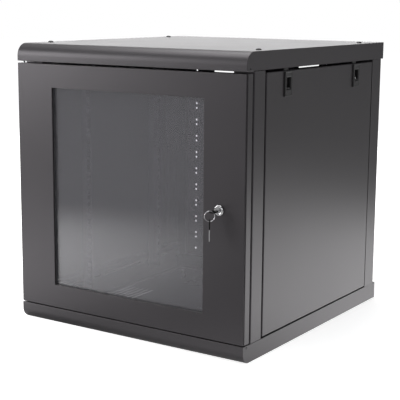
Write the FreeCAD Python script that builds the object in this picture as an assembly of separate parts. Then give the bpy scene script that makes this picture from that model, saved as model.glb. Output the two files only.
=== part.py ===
"""Wall mount network cabinet, 12U: a folded-sheet frame with a glass door and two lift-off side panels.

Frame: X to the right, Y to the rear, Z up, origin at the centre of the base. Millimetres.
"""
import FreeCAD, Part
import math
import os

V = FreeCAD.Vector

# ---- driving dimensions ----------------------------------------------------------------------
width = 600.0                 # over the covers
depth = 635.0                 # over the covers
units = 12                    # rack units inside
unit_pitch = 44.45            # height of one rack unit
rack_below = 12.3             # from the bottom cover's edge to the first unit
rack_above = 11.3             # from the last unit to the top cover's edge
sheet = 1.5                   # frame and cover steel
panel_sheet = 1.2             # side panel steel
rail_sheet = 2.0              # rack rail steel
bend = 1.0                    # inside bend radius of the folded sheet
free_gap = 0.3                # between pieces that seat on each other but may move apart
pin_gap = 0.05                # radial running clearance of pins in their bushes

cover_height = 39.0           # top cover and bottom cover
seam = 2.5                    # gap over the bottom cover, under door and side panels
top_seam = 4.5                # gap under the top cover
top_roll = 28.0               # radius of the top cover's front edge
base_roll = 24.0              # radius of the bottom cover's front edge
cover_lip = 26.0              # depth of the cover flange that carries the door hinge

door_depth = 24.0
door_reveal = 0.5             # door edge inside the cover's side
door_back_gap = 5.0           # between door and front posts
stile = 99.5                  # door edge to window edge
window_below = 52.5           # door bottom edge to window edge
window_above = 51.5           # door top edge to window edge
window_return = 5.0           # folded edge around the window
groove = 3.5                  # shadow groove between door plate and side channel
groove_inset = 4.0            # how far the groove runs in from the door edge
channel_width = 26.0          # door side channel
glass_thick = 5.0
glass_overlap = 12.0          # glass beyond the window on each side
gasket_thick = 1.5

front_flange = 49.0           # front flange of a front post
post_width = 40.0             # flanges of the rear posts, and the ends of all posts in the covers
front_post_depth = 42.0
rear_post_depth = 49.0
post_lip = 14.0               # inner return of a post
rear_overhang = 11.0          # cover beyond the rear posts
panel_front_gap = 6.0         # front post to side panel
panel_rear_gap = 1.5
panel_return = 12.0           # folded edge of a side panel
beam_drop = 34.0              # height of the beams inside the covers
beam_flange = 16.0            # outward flange of a side beam
beam_inset = 18.5             # from the cabinet side to the side beam's web

rack_side = 75.0              # cabinet side to the rails' inner edges, which leaves 450 for 19-inch units
rack_hole = 7.55              # hole column from that edge, which makes the holes 465.1 apart
cage_hole = 9.5               # square hole for a cage nut
rack_end_pitch = 15.875       # first and last hole of a unit from its middle hole
rail_flange = 27.0            # rail face that carries the holes
rail_side = 26.0              # rail leg along the depth
rail_lip = 10.0               # inner edge of a rail
rail_end = 3.0                # rail from the covers' edges
rail_bolt = 15.0              # fixing bolt behind the rail face
front_rail_depth = 165.0      # door front to front rail face
rear_rail_depth = 455.0       # door front to rear rail face

hinge_inset = 9.0             # hinge axis from the cabinet side
hinge_depth = 12.0            # hinge axis behind the door front
pin_r = 2.5
pin_reach = 8.0               # pin length above the door
pin_travel = 10.0             # how far the spring pin retracts

lock_inset = 60.0             # lock axis from the cabinet side
lock_bezel_r = 11.0
lock_bezel_proud = 4.0
bezel_step = 1.2              # step round the bezel's front edge
lock_body_r = 9.0
lock_plug_r = 5.5
cam_length = 47.0
cam_width = 14.0
cam_thick = 2.5

latch_width = 30.0
latch_height = 52.0
latch_proud = 3.5
latch_top = 1.5               # latch housing below the panel's top edge
latch_window_w = 19.0
latch_window_h = 25.5
latch_travel = 8.0
latch_tongue = 18.0           # tongue width
latch_plate = 2.2             # slider thickness
latch_front = 86.0            # panel front edge to the front latch's centre
latch_rear = 90.0             # panel rear edge to the rear latch's centre

bush_r = 4.0                  # outside of the nylon hinge bushes
bush_wall = 5.0               # bush length beyond the cover's lip
thrust_height = 2.2           # bush collar that the door stands on
cover_screw_side = 25.0       # screws of the top cover, from its side
cover_screw_end = 85.0        # and from its front and rear
cover_screw_r = 3.0
cover_head_r = 6.2
cover_head_h = 3.4
rivet_depth = 14.5            # cover rivets behind the front
rivet_from_edge = 5.0
rivet_r = 1.6
bolt_r = 3.0                  # M6
plate_screw_r = 2.0           # M4
entry_width = 300.0           # cable entry in the bottom cover
entry_back = 75.0             # entry from the rear
entry_depth = 80.0
plate_lap = 14.0              # cover plate beyond the entry
vent_count = 6                # ventilation slots each side of the entry
vent_pitch = 14.0
vent_start = 190.0
vent_width = 5.0
vent_length = 90.0
panel_slot_width = 103.0      # each of the two cable slots in the rear panel
panel_slot_web = 150.0        # steel between them
panel_slot_height = 40.0
panel_slot_drop = 21.0        # slot top below the top cover's edge
wall_pitch_x = 400.0          # wall fixing holes
wall_pitch_z = 400.0
wall_hole_r = 4.5
rear_hole_r = 3.0             # equipment holes of the rear panel
rear_hole_step = 6.35         # above and below each unit boundary
support_height = 30.0
support_flange = 23.0
support_edge = 8.0            # support from the cover's edge
slot_count = 3
slot_height = 6.8
slot_web = 18.0               # metal between two slots
tab_count = 3                 # hanging tabs of a side panel
tab_length = 40.0
tab_inset = 4.0               # tab face from the cabinet side
tab_drop = 8.0                # tab below the panel
tilt_room = 5.0               # slot beyond the tab, for the tilt

door_sheet = 1.2
door_edge_r = 1.0             # rounding of the door plate's front edges
channel_lip = 7.0             # rear lip of a side channel
channel_flange = 16.0         # flange of the top and bottom channels on the door plate
channel_turn = 18.0           # their rear flange
clip_width = 14.0
clip_sheet = 1.5
clip_finger = 8.0             # clip over the glass
clip_foot = 16.0
bracket_ear = 32.0            # spacing of the hinge bracket's ears
bracket_drop = 28.0           # upper ear below the door's top
lever_drop = 40.0             # spring pin's lever below the door's top
lever_length = 28.0
lever_r = 1.5
low_pin_rise = 24.0           # lower pin inside the door
bumper_r = 5.0
bumper_height = 4.6
nut_height = 4.0
nut_r = 12.5                  # over the corners of the lock nut
cam_back_gap = 1.5            # cam behind the post's flange
key_thick = 2.4
key_head_r = 8.0
key_hole_r = 4.6
key_head_back = 13.5          # hole centre to the shoulder
key_blade = 24.0
key_blade_w = 7.4
key_blade_t = 1.8
key_out = 24.5                # hole centre in front of the door
ring_r = 10.5
ring_wire = 0.75              # half the thickness of the flat ring
ring_turn = 33.5              # the ring hangs turned by this angle about the vertical
ring_slack = 0.25

# ---- derived places --------------------------------------------------------------------------
half_w = width / 2
rack_opening = width - 2 * rack_side
rack_pitch = rack_opening + 2 * rack_hole
front = -depth / 2
rear = depth / 2
height = units * unit_pitch + rack_below + rack_above + 2 * cover_height
base_top = cover_height                       # upper edge of the bottom cover
top_edge = height - cover_height              # lower edge of the top cover
low = base_top + seam                         # lower edge of door and side panels
high = top_edge - top_seam                    # upper edge of door and side panels
first_unit = base_top + rack_below            # bottom of rack unit 1
door_x = half_w - door_reveal
door_back = front + door_depth
frame_front = door_back + door_back_gap
post_back = frame_front + front_post_depth
rear_face = rear - rear_overhang              # rear of the rear posts
rear_post_front = rear_face - rear_post_depth
panel_front = post_back + panel_front_gap
panel_back = rear_post_front - panel_rear_gap
hinge_x = -half_w + hinge_inset
hinge_y = front + hinge_depth
window_x = door_x - stile
window_low = low + window_below
window_high = high - window_above
lock_x = half_w - lock_inset
lock_z = (low + high) / 2
rail_x = rack_opening / 2 + rail_flange
support_run = (post_back, rear_post_front)
support_low = base_top + support_edge
support_high = top_edge - support_edge - support_height

os.makedirs("parts", exist_ok=True)


# ---- shape helpers ---------------------------------------------------------------------------
def box(x, y, z):
    """Block between two limits along each axis."""
    return Part.makeBox(x[1] - x[0], y[1] - y[0], z[1] - z[0], V(x[0], y[0], z[0]))


def rod(centre, radius, length, axis):
    """Cylinder from a centre point along an axis."""
    return Part.makeCylinder(radius, length, V(*centre), V(*axis))


def point(axis, a, b, along):
    """Point from the two coordinates of a flat outline and its place along the axis."""
    return {"x": V(along, a, b), "y": V(a, along, b), "z": V(a, b, along)}[axis]


def prism(axis, points, radii, start, end):
    """Extrude a closed outline along an axis, with each corner rounded by its own radius."""
    corners = [point(axis, a, b, start) for a, b in points]
    arcs = []
    for i, corner in enumerate(corners):
        radius = radii[i] if isinstance(radii, list) else radii
        before = (corners[i - 1] - corner).normalize()
        after = (corners[(i + 1) % len(corners)] - corner).normalize()
        if radius <= 0:
            arcs.append([corner])
            continue
        half = before.getAngle(after) / 2
        run = radius / math.tan(half)
        middle = corner + (before + after).normalize() * (radius / math.sin(half) - radius)
        arcs.append([corner + before * run, middle, corner + after * run])
    edges = []
    for i, arc in enumerate(arcs):
        if len(arc) == 3:
            edges.append(Part.Arc(*arc).toShape())
        following = arcs[(i + 1) % len(arcs)][0]
        if arc[-1].distanceToPoint(following) > 1e-6:
            edges.append(Part.makeLine(arc[-1], following))
    solid = Part.Face(Part.Wire(edges)).extrude(point(axis, 0, 0, end - start))
    if solid.Volume < 0:
        solid.reverse()
    return solid


def fold(axis, path, thick, start, end, big=None, inside=bend):
    """Folded sheet: the path is its outer line, the thickness lies to the path's left.

    big gives a corner of the path its own outer radius, as {corner number: radius}, and inside is the
    inside radius of the other bends: 0 on the hidden channels, whose bends are pressed sharp.
    """
    big = big or {}
    outside = inside + thick if inside else 0
    last = len(path) - 1
    ways = []
    for (a0, b0), (a1, b1) in zip(path, path[1:]):
        size = math.hypot(a1 - a0, b1 - b0)
        ways.append(((a1 - a0) / size, (b1 - b0) / size))
    inner = []
    outer_r = []
    inner_r = []
    for i, (a, b) in enumerate(path):
        u = ways[max(i - 1, 0)]
        w = ways[min(i, last - 1)]
        turn = u[0] * w[1] - u[1] * w[0]
        share = 1 + u[0] * w[0] + u[1] * w[1]
        inner.append((a - thick * (u[1] + w[1]) / share, b + thick * (u[0] + w[0]) / share))
        if i in (0, last):
            outer_r.append(0)
            inner_r.append(0)
        elif turn > 0:
            outer_r.append(big.get(i, outside))
            inner_r.append(max(outer_r[-1] - thick, 0))
        else:
            outer_r.append(inside)
            inner_r.append(outside)
    return prism(axis, path + inner[::-1], outer_r + inner_r[::-1], start, end)


def mirrored(shape):
    """The same shape on the other side of the cabinet."""
    return shape.mirror(V(0, 0, 0), V(1, 0, 0))


def joined(*shapes):
    """One solid from touching or overlapping shapes."""
    return shapes[0].fuse(list(shapes[1:])).removeSplitter()


def cut_all(shape, tools):
    """Cut every tool out of a shape."""
    return shape.cut(Part.makeCompound(tools))


def save(node, *shapes):
    """Write one node: a solid, or a group of separate solids."""
    solids = [solid for shape in shapes for solid in shape.Solids]
    whole = solids[0] if len(solids) == 1 else Part.makeCompound(solids)
    if not whole.isValid() or min(solid.Volume for solid in solids) <= 0:
        raise ValueError(node + " is not a sound solid")
    whole.exportStep("parts/" + node + ".step")


def save_pair(node, shape):
    """Write a right-hand piece and its mirror image."""
    save(node + "_right", shape)
    save(node + "_left", mirrored(shape))


def six_sided(centre, radius, length, axis, sides=6):
    """Prism with corners at the radius, along an axis: a bolt's shank or head, or the hole for it."""
    first = V(0, 0, 1) if abs(axis[2]) < 0.5 else V(1, 0, 0)
    second = V(*axis).cross(first)
    turns = [2 * math.pi * i / sides for i in range(sides)]
    corners = [V(*centre) + first * (radius * math.cos(a)) + second * (radius * math.sin(a)) for a in turns]
    return Part.Face(Part.makePolygon(corners + corners[:1])).extrude(V(*axis) * length)


def screw(seat, axis, shank_r, shank, head_r, head_h):
    """Hexagon-head screw: head above its seat, shank below it. axis points out of the head."""
    back = V(*seat) - V(*axis) * shank
    return joined(six_sided(seat, head_r, head_h, axis), six_sided((back.x, back.y, back.z), shank_r, shank, axis))


def dome_screw(seat, axis, shank_r, shank, head_r, head_h, sides):
    """Screw or rivet whose head steps in towards its top."""
    back = V(*seat) - V(*axis) * shank
    return joined(six_sided(seat, head_r, head_h * 0.55, axis, sides),
                  six_sided(seat, head_r * 0.7, head_h, axis, sides),
                  six_sided((back.x, back.y, back.z), shank_r, shank, axis))


# ---- covers ----------------------------------------------------------------------------------
def cover(bottom, top, roll, roll_at_top):
    """Folded cover: rolled front edge, lip towards the door, rear flange, an end plate on each side."""
    if roll_at_top:
        path = [(rear, bottom), (rear, top), (front, top), (front, bottom), (front + cover_lip, bottom)]
    else:
        path = [(front + cover_lip, top), (front, top), (front, bottom), (rear, bottom), (rear, top)]
    skin = fold("x", path, sheet, -half_w + sheet, half_w - sheet, {2: roll})
    side = [(front, bottom), (front, top), (rear, top), (rear, bottom)]
    radii = [0, roll, bend + sheet, 0] if roll_at_top else [roll, 0, 0, bend + sheet]
    ends = [prism("x", side, radii, x, x + sheet) for x in (-half_w, half_w - sheet)]
    lip_z = bottom if roll_at_top else top
    rivet_z = bottom + rivet_from_edge if roll_at_top else top - rivet_from_edge
    holes = [six_sided((hinge_x, hinge_y, lip_z - 2 * sheet), bush_r, 4 * sheet, (0, 0, 1)),
             six_sided((-half_w - 1, front + rivet_depth, rivet_z), rivet_r, width + 2, (1, 0, 0))]
    return cut_all(joined(skin, *ends), holes)


screw_places = [(x, y) for x in (-half_w + cover_screw_side, half_w - cover_screw_side)
                for y in (front + cover_screw_end, rear - cover_screw_end)]
cover_screw_holes = [six_sided((x, y, height - beam_drop / 2), cover_screw_r + free_gap, beam_drop, (0, 0, 1))
                     for x, y in screw_places]
save("top_cover", cut_all(cover(top_edge, height, top_roll, True), cover_screw_holes))

entry_y = rear - entry_back - entry_depth / 2
entry = [box((-entry_width / 2, entry_width / 2), (entry_y - entry_depth / 2, entry_y + entry_depth / 2),
             (-sheet, 2 * sheet))]
vents = [box((x - vent_width / 2, x + vent_width / 2), (y, y + vent_length), (-sheet, 2 * sheet))
         for side in (-1, 1) for i in range(vent_count) for x in (side * (vent_start + i * vent_pitch),)
         for y in (-vent_length / 2,)]
plate_holes = [six_sided((x, y, -sheet), plate_screw_r + free_gap, 4 * sheet, (0, 0, 1))
               for x in (-entry_width / 2 - plate_lap / 2, entry_width / 2 + plate_lap / 2)
               for y in (entry_y - entry_depth / 4, entry_y + entry_depth / 4)]
save("bottom_cover", cut_all(cover(0, base_top, base_roll, False), entry + vents + plate_holes))

plate = box((-entry_width / 2 - plate_lap, entry_width / 2 + plate_lap),
            (entry_y - entry_depth / 2 - plate_lap, entry_y + entry_depth / 2 + plate_lap), (sheet, 2 * sheet))
save("cable_entry_plate", cut_all(plate, plate_holes))
entry_screws = [screw((x, y, 2 * sheet), (0, 0, 1), plate_screw_r, 2 * sheet, 4.0, 2.2)
                for x in (-entry_width / 2 - plate_lap / 2, entry_width / 2 + plate_lap / 2)
                for y in (entry_y - entry_depth / 4, entry_y + entry_depth / 4)]
save("cover_screws", *[dome_screw((x, y, height), (0, 0, 1), cover_screw_r, beam_drop / 2, cover_head_r, cover_head_h,
                                   12)
                       for x, y in screw_places])
save("cover_rivets", *[dome_screw((side * half_w, front + rivet_depth, z), (side, 0, 0), rivet_r, 4.0, 2.6, 0.9, 6)
                       for side in (-1, 1) for z in (base_top - rivet_from_edge, top_edge + rivet_from_edge)])

# ---- frame -----------------------------------------------------------------------------------
seat_low = base_top + free_gap
seat_high = top_edge - free_gap
tab_x = (half_w - post_width + 2, half_w - sheet - free_gap)
tab_z = (cover_height - beam_drop / 2, cover_height + 1), (top_edge - 1, top_edge + beam_drop / 2 - sheet)


def tabs(y):
    """Narrow ends of a post's flange that reach into both covers."""
    return [box(tab_x, (y, y + sheet), z) for z in tab_z]


post = fold("z", [(half_w - front_flange, frame_front + post_lip), (half_w - front_flange, frame_front),
                  (half_w, frame_front), (half_w, post_back), (half_w - post_width, post_back)],
            sheet, seat_low, seat_high, {1: sheet + bend, 2: sheet + bend}, 0)
strike = box((half_w - front_flange - 1, half_w - front_flange + sheet + bend),
             (frame_front + sheet + bend, frame_front + post_lip + 1),
             (lock_z - cam_length - cam_width, lock_z + cam_width))
beam_bolts = [(side * (half_w - post_width / 2), z) for side in (-1, 1)
              for z in (base_top - beam_drop / 2 + 8, top_edge + beam_drop / 2 - 10)]
front_bolt_holes = [six_sided((x, frame_front - 5, z), bolt_r + free_gap, 15, (0, 1, 0)) for x, z in beam_bolts]
rear_bolt_holes = [six_sided((x, rear_face - 10, z), bolt_r + free_gap, 15, (0, 1, 0)) for x, z in beam_bolts]
front_post = cut_all(joined(post, *tabs(frame_front)), front_bolt_holes)
save("front_post_right", front_post.cut(strike))
save("front_post_left", mirrored(front_post))

back_post = fold("z", [(half_w - post_width, rear_post_front), (half_w, rear_post_front),
                       (half_w, rear_face), (half_w - post_width, rear_face),
                       (half_w - post_width, rear_face - post_lip)], sheet, seat_low, seat_high,
                 {2: sheet + bend}, 0)
panel_screws = [(side * (half_w - post_width / 2), z) for side in (-1, 1)
                for z in (lock_z,)]
panel_screw_holes = [six_sided((x, rear_face - 10, z), plate_screw_r + free_gap, 20, (0, 1, 0))
                     for x, z in panel_screws]
back_post = cut_all(joined(back_post, *tabs(rear_face - sheet)), rear_bolt_holes + panel_screw_holes)
save_pair("rear_post", back_post)

beam_x = half_w - sheet - free_gap
beam_low = (sheet, base_top - free_gap)
beam_high = (top_edge + sheet + 1, height - sheet)


def cross_beam(y, way, z, holes):
    """Channel across the cabinet behind the post tabs; way is the side that its flanges point to."""
    path = [(y + way * beam_flange, z[0]), (y, z[0]), (y, z[1]), (y + way * beam_flange, z[1])]
    if way > 0:
        path = path[::-1]
    return cut_all(fold("x", path, sheet, -beam_x, beam_x, inside=0), holes)


front_web = frame_front + sheet
rear_web = rear_face - sheet
save("front_beam_top", cross_beam(front_web, 1, beam_high, front_bolt_holes))
save("front_beam_bottom", cross_beam(front_web, 1, beam_low, front_bolt_holes))
save("rear_beam_top", cross_beam(rear_web, -1, beam_high, rear_bolt_holes))
save("rear_beam_bottom", cross_beam(rear_web, -1, beam_low, rear_bolt_holes))

side_run = (front_web + beam_flange, rear_web - beam_flange)
web_x = half_w - beam_inset
top_beam = fold("y", [(web_x - beam_flange - 10, beam_high[1]), (web_x, beam_high[1]),
                      (web_x, beam_high[0]), (web_x - beam_flange, beam_high[0])][::-1],
                sheet, *side_run, inside=0)
save_pair("side_beam_top", cut_all(top_beam, cover_screw_holes))

tab_places = [panel_front + (panel_back - panel_front) * (i + 0.5) / tab_count for i in range(tab_count)]
tab_outer = half_w - tab_inset
tab_slots = [box((tab_outer - sheet - tilt_room, tab_outer + 0.5),
                 (y - tab_length / 2 - 1, y + tab_length / 2 + 1), (base_top - 2 * sheet, base_top + 1))
             for y in tab_places]
ledge = fold("y", [(web_x - beam_flange, sheet), (web_x, sheet), (web_x, base_top - sheet),
                   (beam_x, base_top - sheet)], sheet, *side_run, inside=0)
save_pair("side_beam_bottom", cut_all(ledge, tab_slots))

# ---- rear panel ------------------------------------------------------------------------------
slot_top = top_edge - panel_slot_drop
rear_holes = [six_sided((side * rack_pitch / 2, rear_face - 1, z), rear_hole_r, 4, (0, 1, 0))
              for side in (-1, 1) for k in range(units + 1) for step in (-1, 1)
              for z in (first_unit + k * unit_pitch + step * rear_hole_step,)
              if first_unit < z < first_unit + units * unit_pitch]
wall_holes = [rod((x, rear_face - 1, lock_z + z), wall_hole_r, 4, (0, 1, 0))
              for x in (-wall_pitch_x / 2, wall_pitch_x / 2) for z in (-wall_pitch_z / 2, wall_pitch_z / 2)]
cable_slots = [box((x, x + panel_slot_width), (rear_face - 1, rear_face + 3), (slot_top - panel_slot_height, slot_top))
               for x in (-panel_slot_web / 2 - panel_slot_width, panel_slot_web / 2)]
back = box((-half_w + 4, half_w - 4), (rear_face, rear_face + sheet),
           (cover_height - beam_drop + 10, height - cover_height + beam_drop - 10))
save("rear_panel", cut_all(back, rear_holes + wall_holes + rear_bolt_holes + panel_screw_holes + cable_slots))
save("panel_screws", *entry_screws,
     *[screw((x, rear_face + sheet, z), (0, 1, 0), plate_screw_r, 6, 4.0, 2.2) for x, z in panel_screws])

# ---- rail supports and rack rails ------------------------------------------------------------
slot_pitch = (support_run[1] - support_run[0]) / slot_count


def support(z):
    """Slotted channel along the depth, with an end tab that is spot-welded to each post."""
    path = [(rail_x + support_flange, z + support_height), (rail_x, z + support_height),
            (rail_x, z), (rail_x + support_flange, z)]
    channel = fold("y", path, sheet, *support_run, inside=0)
    middle = z + support_height / 2
    slots = [box((rail_x - 1, rail_x + 3),
                 (support_run[0] + i * slot_pitch + slot_web / 2, support_run[0] + (i + 1) * slot_pitch - slot_web / 2),
                 (middle - slot_height / 2, middle + slot_height / 2)) for i in range(slot_count)]
    ends = [box((rail_x, rail_x + support_flange), (y, y + sheet), (z, z + support_height))
            for y in (support_run[0], support_run[1] - sheet)]
    return cut_all(joined(channel, *ends), slots)


supports = [support(z) for z in (support_low, support_high)]
save("rail_supports_right", *supports)
save("rail_supports_left", *[mirrored(shape) for shape in supports])


def rail(face, way):
    """Rack rail with three square holes per unit; way is the side that its legs point to."""
    path = [(rack_opening / 2, face + way * rail_lip), (rack_opening / 2, face),
            (rail_x, face), (rail_x, face + way * rail_side)]
    body = fold("z", path if way > 0 else path[::-1], rail_sheet, base_top + rail_end, top_edge - rail_end,
                inside=0)
    middles = [first_unit + (k + 0.5) * unit_pitch + step * rack_end_pitch
               for k in range(units) for step in (-1, 0, 1)]
    holes = [box((rack_pitch / 2 - cage_hole / 2, rack_pitch / 2 + cage_hole / 2), (face - 3, face + 3),
                 (z - cage_hole / 2, z + cage_hole / 2)) for z in middles]
    fixings = [six_sided((rail_x - 5, face + way * rail_bolt, z + support_height / 2), bolt_r + free_gap, 8, (1, 0, 0))
               for z in (support_low, support_high)]
    return cut_all(body, holes + fixings)


front_rail = front + front_rail_depth
rear_rail = front + rear_rail_depth
save_pair("front_rack_rail", rail(front_rail, 1))
save_pair("rear_rack_rail", rail(rear_rail, -1))
rail_bolts = [screw((rail_x - rail_sheet, y, z + support_height / 2), (-1, 0, 0), bolt_r, 8, 5.5, 3.2)
              for y in (front_rail + rail_bolt, rear_rail - rail_bolt) for z in (support_low, support_high)]
save("rail_bolts", *rail_bolts, *[mirrored(bolt) for bolt in rail_bolts])
save("frame_bolts",
     *[screw((x, frame_front, z), (0, -1, 0), bolt_r, 10, 5.0, 3.2) for x, z in beam_bolts],
     *[screw((x, rear_face + sheet, z), (0, 1, 0), bolt_r, 10, 5.0, 3.2) for x, z in beam_bolts])

# ---- door ------------------------------------------------------------------------------------
lock_hole = rod((lock_x, front - 1, lock_z), lock_body_r + 0.1, 10, (0, 1, 0))
leaf = box((-door_x, door_x), (front, front + sheet), (low, high))
leaf = leaf.makeFillet(door_edge_r, [e for e in leaf.Edges if abs(e.CenterOfMass.y - front) < 0.01])
window = box((-window_x, window_x), (front - 1, front + window_return + 1), (window_low, window_high))
rim = box((-window_x - door_sheet, window_x + door_sheet), (front, front + window_return),
          (window_low - door_sheet, window_high + door_sheet))
save("door_plate", joined(leaf, rim).cut(window).cut(lock_hole))

plate_back = front + sheet
channel = fold("z", [(door_x - channel_width, plate_back), (door_x - groove_inset, plate_back),
                     (door_x - groove_inset, plate_back + groove), (door_x, plate_back + groove),
                     (door_x, door_back), (door_x - channel_width, door_back),
                     (door_x - channel_width, door_back - channel_lip)], door_sheet, low, high,
               {3: door_sheet + bend}, 0)
caps = [box((door_x - channel_width, door_x), (plate_back + groove, door_back), z)
        for z in ((low, low + door_sheet), (high - door_sheet, high))]
channel = joined(channel, *caps)
pin_holes = [rod((hinge_x, hinge_y, z - 2), pin_r + pin_gap, 4, (0, 0, 1)) for z in (low, high)]
save("door_channel_right", channel)
save("door_channel_left", cut_all(mirrored(channel), pin_holes))

span = (-door_x + channel_width, door_x - channel_width)
upper = fold("x", [(door_back, high - channel_turn), (door_back, high), (plate_back, high),
                   (plate_back, high - channel_flange)], door_sheet, *span, inside=0)
lower = fold("x", [(plate_back, low + channel_flange), (plate_back, low), (door_back, low),
                   (door_back, low + channel_turn)], door_sheet, *span, inside=0)
save("door_channel_top", upper)
save("door_channel_bottom", lower)

glass_x = window_x + glass_overlap
glass_low = window_low - glass_overlap
glass_high = window_high + glass_overlap
glass_front = front + window_return + gasket_thick
glass_back = glass_front + glass_thick
seal = box((-glass_x, glass_x), (front + window_return, glass_front), (glass_low, glass_high))
seal_hole = box((-window_x + gasket_thick, window_x - gasket_thick), (front, front + 2 * window_return),
                (window_low + gasket_thick, window_high - gasket_thick))
save("window_gasket", seal.cut(seal_hole))
save("window_glass", box((-glass_x, glass_x), (glass_front, glass_back), (glass_low, glass_high)))


def clip(edge, way, along, upright):
    """Z-shaped glass clip beside one glass edge; way points from the glass to the clip's foot."""
    parts = (((-clip_finger, 1 + clip_sheet), (glass_back, glass_back + clip_sheet)),
             ((1, 1 + clip_sheet), (plate_back, glass_back)),
             ((1, clip_foot), (plate_back, plate_back + clip_sheet)))
    blocks = []
    for (a0, a1), y in parts:
        across = sorted((edge + way * a0, edge + way * a1))
        run = (along - clip_width / 2, along + clip_width / 2)
        blocks.append(box(across, y, run) if upright else box(run, y, across))
    return joined(*blocks)


upright_clips = [(way * glass_x, way, z, True) for way in (-1, 1)
                 for z in (glass_low + 80, glass_high - 80)]
level_clips = [(edge, way, 0, False) for edge, way in ((glass_low, -1), (glass_high, 1))]
clips = []
clip_screws = []
for edge, way, along, upright in upright_clips + level_clips:
    foot = edge + way * (clip_foot + 1 + clip_sheet) / 2
    seat = (foot, plate_back + clip_sheet, along) if upright else (along, plate_back + clip_sheet, foot)
    hole = six_sided((seat[0], seat[1] - 5, seat[2]), plate_screw_r + 0.1, 10, (0, 1, 0))
    clips.append(clip(edge, way, along, upright).cut(hole))
    clip_screws.append(screw(seat, (0, 1, 0), plate_screw_r, clip_sheet, 3.6, 2.2))
save("glass_clips", *clips)
save("glass_clip_screws", *clip_screws)
save("door_bumpers", *[six_sided((half_w - post_width / 2, frame_front, z), bumper_r, bumper_height, (0, -1, 0), 10)
                       for z in (low + 60, high - 60)])

# ---- door hinge ------------------------------------------------------------------------------
inner_x = -door_x + door_sheet
ear = ((inner_x, inner_x + channel_width - 8), (plate_back + groove + door_sheet + bend, door_back - door_sheet - bend))
ear_z = (high - bracket_drop, high - bracket_drop - bracket_ear)
guide = joined(box((inner_x, inner_x + sheet), ear[1], (ear_z[1], ear_z[0] + sheet)),
               *[box(*ear, (z, z + sheet)) for z in ear_z])
guide = cut_all(guide, [rod((hinge_x, hinge_y, z - 2), pin_r + pin_gap, 6, (0, 0, 1)) for z in ear_z])
low_ear = joined(box((inner_x, inner_x + sheet), ear[1], (low + door_sheet, low + low_pin_rise - 4)),
                 box(*ear, (low + low_pin_rise - 4 - sheet, low + low_pin_rise - 4)))
low_ear = low_ear.cut(rod((hinge_x, hinge_y, low), pin_r + pin_gap, low_pin_rise + 4, (0, 0, 1)))
save("hinge_brackets", guide, low_ear)
spring_pin = joined(rod((hinge_x, hinge_y, ear_z[1] - 4), pin_r, high + pin_reach - ear_z[1] + 4, (0, 0, 1)),
                    six_sided((hinge_x, hinge_y, high - lever_drop), lever_r, lever_length, (1, 0, 0)))
save("hinge_pin_upper", spring_pin)
fixed_pin = rod((hinge_x, hinge_y, base_top - bush_wall - 1), pin_r, low + low_pin_rise - base_top + bush_wall + 1,
                (0, 0, 1))
save("hinge_pin_lower", fixed_pin)


def bush(x, lip, way, collar):
    """Nylon bush through a cover lip; way points from its collar into the cover."""
    seat = (x, hinge_y, lip)
    body = joined(six_sided(seat, bush_r, bush_wall, (0, 0, way)),
                  six_sided(seat, bush_r + 1.5, collar, (0, 0, -way)))
    return body.cut(rod((x, hinge_y, lip - 20), pin_r + pin_gap, 40, (0, 0, 1)))


save("hinge_bushes", bush(hinge_x, base_top, -1, thrust_height), bush(hinge_x, top_edge, 1, 1.0))

# ---- lock and keys ---------------------------------------------------------------------------
plug_front = front - lock_bezel_proud + 0.6
cam_front = frame_front + sheet + cam_back_gap
bezel = joined(rod((lock_x, front - lock_bezel_proud, lock_z), lock_bezel_r - bezel_step, lock_bezel_proud, (0, 1, 0)),
               rod((lock_x, front - lock_bezel_proud + bezel_step, lock_z), lock_bezel_r,
                   lock_bezel_proud - bezel_step, (0, 1, 0)))
barrel = rod((lock_x, front, lock_z), lock_body_r, cam_front - front - 1.5, (0, 1, 0))
save("lock_body", joined(bezel, barrel).cut(rod((lock_x, front - 20, lock_z), lock_plug_r + pin_gap, 80, (0, 1, 0))))
save("lock_nut", six_sided((lock_x, plate_back, lock_z), nut_r, nut_height, (0, 1, 0))
     .cut(rod((lock_x, front, lock_z), lock_body_r, 20, (0, 1, 0))))
plug = rod((lock_x, plug_front, lock_z), lock_plug_r, cam_front - plug_front, (0, 1, 0))
keyway = box((lock_x - key_blade_w / 2 - 0.2, lock_x + key_blade_w / 2 + 0.2),
             (plug_front - 1, front - key_out + key_head_back + key_blade + 1),
             (lock_z - key_blade_t / 2 - 0.2, lock_z + key_blade_t / 2 + 0.2))
save("lock_plug", plug.cut(keyway))
arm = [(lock_x - cam_width / 2, lock_z + cam_width / 2), (lock_x - cam_width / 2, lock_z - cam_length),
       (lock_x + cam_width / 2, lock_z - cam_length), (lock_x + cam_width / 2, lock_z + cam_width / 2)]
cam = prism("y", arm, [6, 3, 3, 6], cam_front, cam_front + cam_thick)
save("lock_cam", cam.cut(six_sided((lock_x, cam_front - 5, lock_z), 2.6, 20, (0, 1, 0))))
save("cam_screw", screw((lock_x, cam_front + cam_thick, lock_z), (0, 1, 0), 2.5, cam_thick, 5.0, 2.6))


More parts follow.
